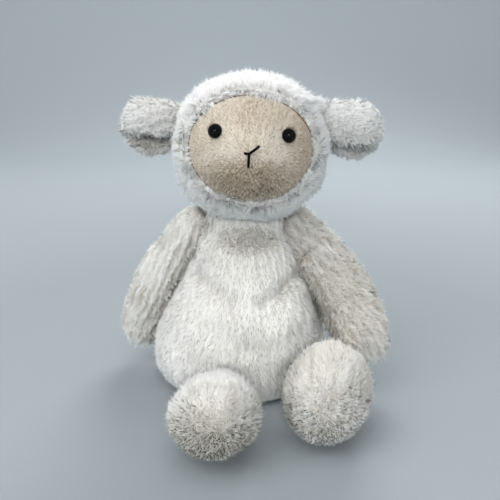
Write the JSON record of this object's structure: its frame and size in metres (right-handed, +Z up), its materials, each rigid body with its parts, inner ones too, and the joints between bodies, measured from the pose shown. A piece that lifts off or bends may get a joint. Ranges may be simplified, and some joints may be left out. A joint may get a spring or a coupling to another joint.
{
  "type": "plush lamb",
  "caption": "Seated plush lamb: round hooded head with a beige face, folded side ears, pear-shaped body, hanging arms, large round feet and a short tail.",
  "frame": {"origin": "on the surface that the lamb sits on, at the centre of the seat", "axes": "+Z up, the lamb faces -Y, and +X is the lamb's own left"},
  "size_m": [0.1837, 0.2045, 0.2074],
  "materials": {
    "white_plush": "matte",
    "cream_plush": "matte",
    "beige_plush": "matte",
    "stuffing_fibre": "matte",
    "bag_cloth": "matte",
    "black_eye": "polished",
    "white_washer": "satin",
    "black_thread": "satin"
  },
  "bodies": {
    "torso": {"body_cover": "cream_plush", "body_stuffing": "stuffing_fibre", "seat_pellet_bag": "bag_cloth"},
    "head": {"head_hood": "white_plush", "face_panel": "beige_plush", "head_stuffing": "stuffing_fibre", "nose_and_mouth_thread": "black_thread", "right_eye": "black_eye", "right_eye_washer": "white_washer", "left_eye": "black_eye", "left_eye_washer": "white_washer"},
    "right_ear": {"right_ear_outer": "white_plush", "right_ear_lining": "cream_plush"},
    "left_ear": {"left_ear_outer": "white_plush", "left_ear_lining": "cream_plush"},
    "right_arm": {"right_arm_cover": "cream_plush", "right_arm_stuffing": "stuffing_fibre"},
    "left_arm": {"left_arm_cover": "cream_plush", "left_arm_stuffing": "stuffing_fibre"},
    "right_leg": {"right_leg_cover": "cream_plush", "right_foot_sole": "white_plush", "right_leg_stuffing": "stuffing_fibre", "right_foot_pellet_bag": "bag_cloth"},
    "left_leg": {"left_leg_cover": "cream_plush", "left_foot_sole": "white_plush", "left_leg_stuffing": "stuffing_fibre", "left_foot_pellet_bag": "bag_cloth"},
    "tail": {"tail_cover": "cream_plush", "tail_stuffing": "stuffing_fibre"}
  },
  "joints": [
    {"name": "neck_nod", "type": "hinge", "parent": "torso", "child": "head", "pos_m": [0.004, 0, 0.112], "axis": [1, 0, 0], "range_deg": [-15, 15], "stiffness_Nm_per_rad": 0.5, "springref_deg": -0.69},
    {"name": "right_ear_flap", "type": "hinge", "parent": "head", "child": "right_ear", "pos_m": [-0.03566, -0.01, 0.17364], "axis": [0, 1, 0], "range_deg": [-20, 20], "stiffness_Nm_per_rad": 0.01},
    {"name": "left_ear_flap", "type": "hinge", "parent": "head", "child": "left_ear", "pos_m": [0.0517, -0.01, 0.17681], "axis": [0, 1, 0], "range_deg": [-20, 20], "stiffness_Nm_per_rad": 0.01},
    {"name": "right_arm_swing", "type": "hinge", "parent": "torso", "child": "right_arm", "pos_m": [-0.026, 0.005, 0.111], "axis": [-1, 0, 0], "range_deg": [-45, 75], "stiffness_Nm_per_rad": 0.05},
    {"name": "left_arm_swing", "type": "hinge", "parent": "torso", "child": "left_arm", "pos_m": [0.034, 0.005, 0.111], "axis": [-1, 0, 0], "range_deg": [-45, 75], "stiffness_Nm_per_rad": 0.05},
    {"name": "right_leg_lift", "type": "hinge", "parent": "torso", "child": "right_leg", "pos_m": [-0.03, -0.04, 0.0125], "axis": [-0.9613, -0.2756, 0], "range_deg": [0, 40], "stiffness_Nm_per_rad": 0.05},
    {"name": "left_leg_lift", "type": "hinge", "parent": "torso", "child": "left_leg", "pos_m": [0.03, -0.028, 0.0125], "axis": [-0.9397, -0.342, 0], "range_deg": [0, 40], "stiffness_Nm_per_rad": 0.05},
    {"name": "tail_wag", "type": "hinge", "parent": "torso", "child": "tail", "pos_m": [0, 0.047, 0.032], "axis": [1, 0, 0], "range_deg": [-15, 20], "stiffness_Nm_per_rad": 0.01}
  ]
}
